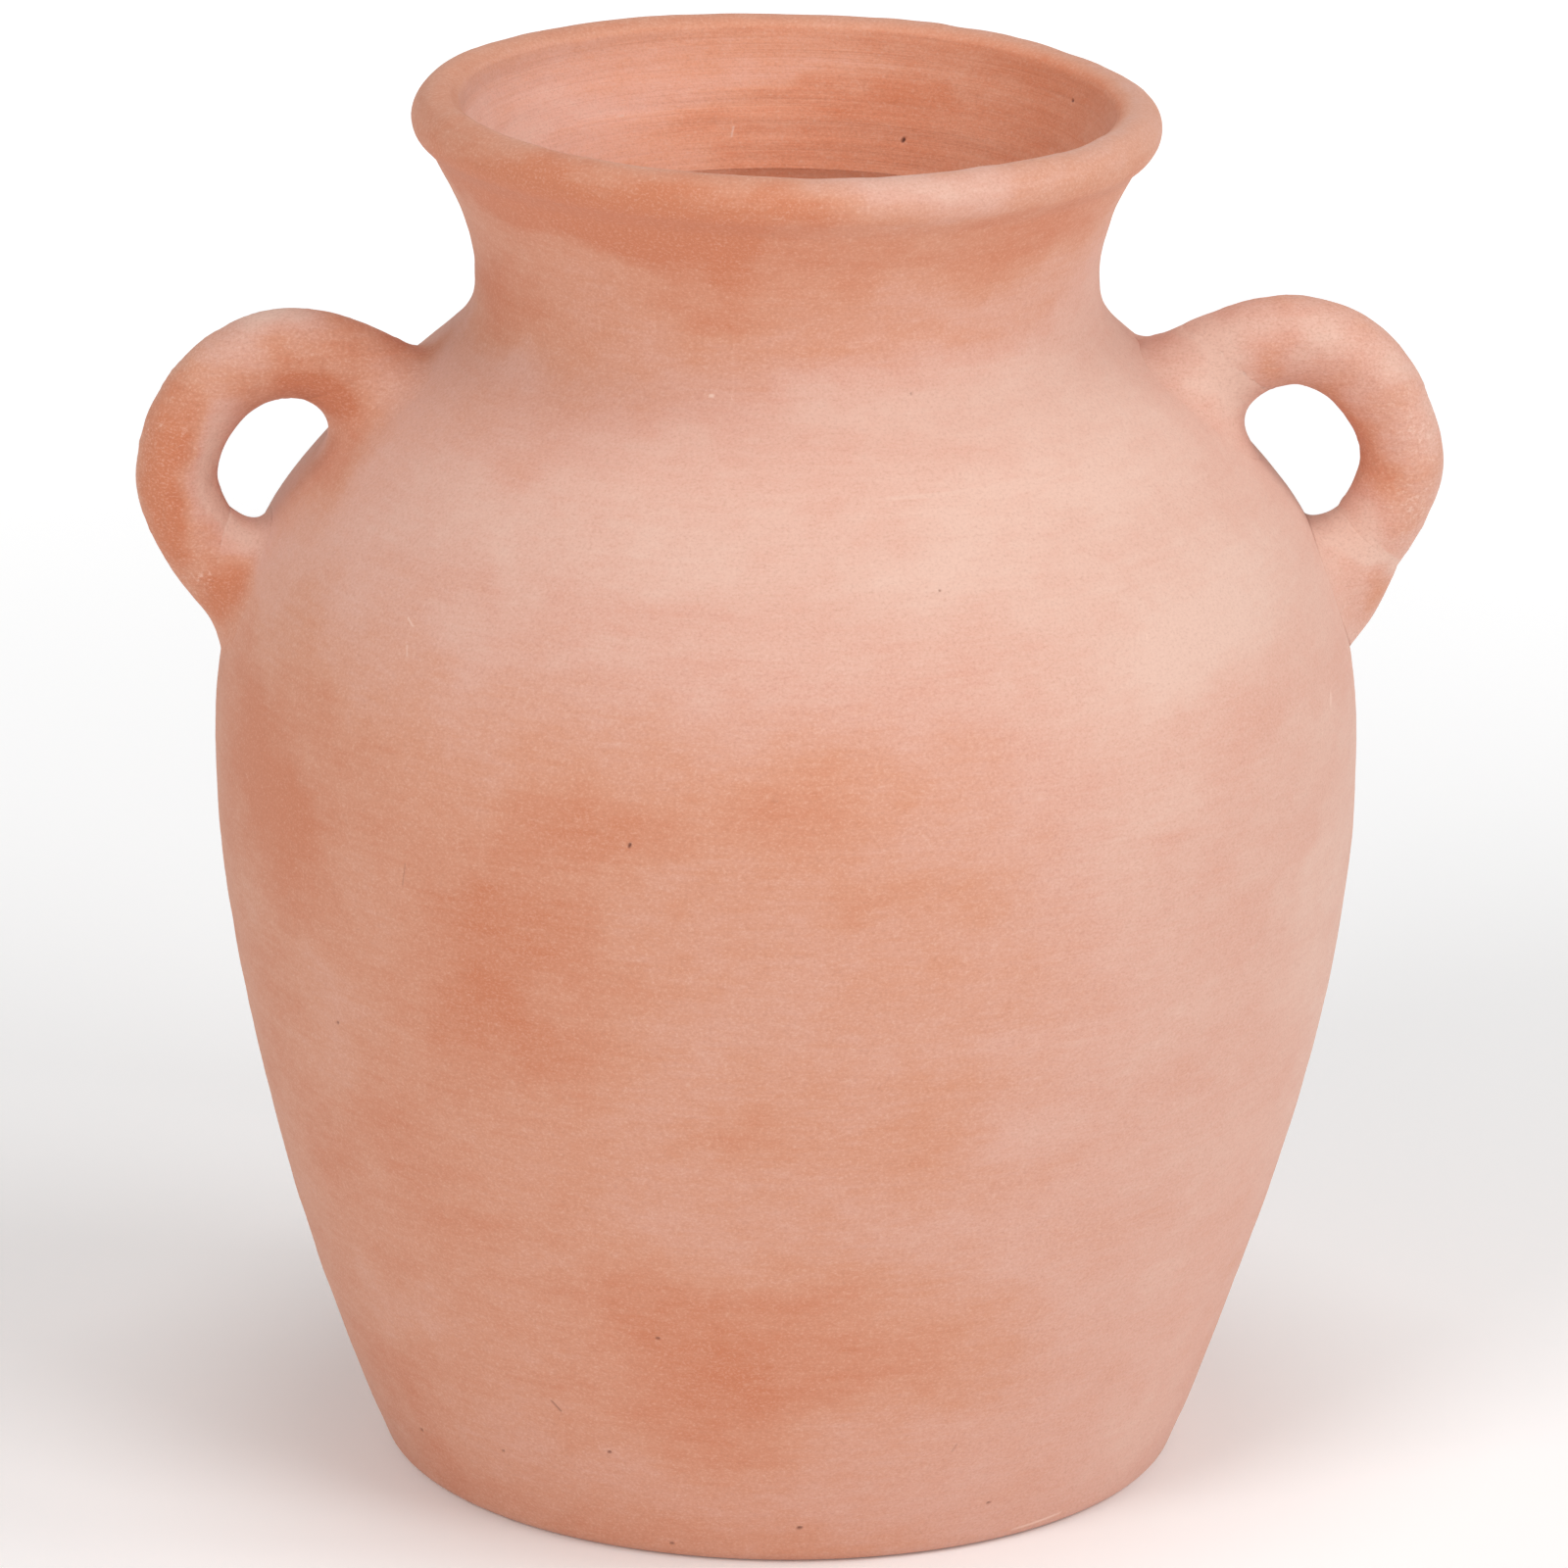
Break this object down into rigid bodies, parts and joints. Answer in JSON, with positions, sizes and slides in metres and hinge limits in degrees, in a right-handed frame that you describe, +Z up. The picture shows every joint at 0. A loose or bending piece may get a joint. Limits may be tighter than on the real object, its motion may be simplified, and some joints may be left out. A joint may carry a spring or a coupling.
{
  "type": "two-handled terracotta jar",
  "caption": "Squat unglazed terracotta amphora with a wide mouth, rolled rim, short waisted neck, round shoulder with small loop handles, and a tapering body on a flat foot.",
  "frame": {"origin": "middle of the flat foot, on the surface that the jar stands on", "axes": "+Z up out of the mouth, +X through the right handle, -Y towards the front"},
  "size_m": [0.2908, 0.2558, 0.3123],
  "materials": {
    "body_clay": "unglazed matte terracotta, salmon pink with cloudy orange patches and fine speckle",
    "collar_clay": "unglazed matte terracotta, a little more orange at the rim, with turning lines inside",
    "handle_clay": "unglazed matte terracotta, hand-rolled, orange where it was handled, slightly pitted",
    "luting_clay": "unglazed matte terracotta, paler smoothed joining clay"
  },
  "bodies": {
    "root": {"thrown_body": "body_clay", "collar": "collar_clay", "left_handle": "handle_clay", "right_handle": "handle_clay", "left_upper_luting": "luting_clay", "left_lower_luting": "luting_clay", "right_upper_luting": "luting_clay", "right_lower_luting": "luting_clay"}
  },
  "joints": []
}
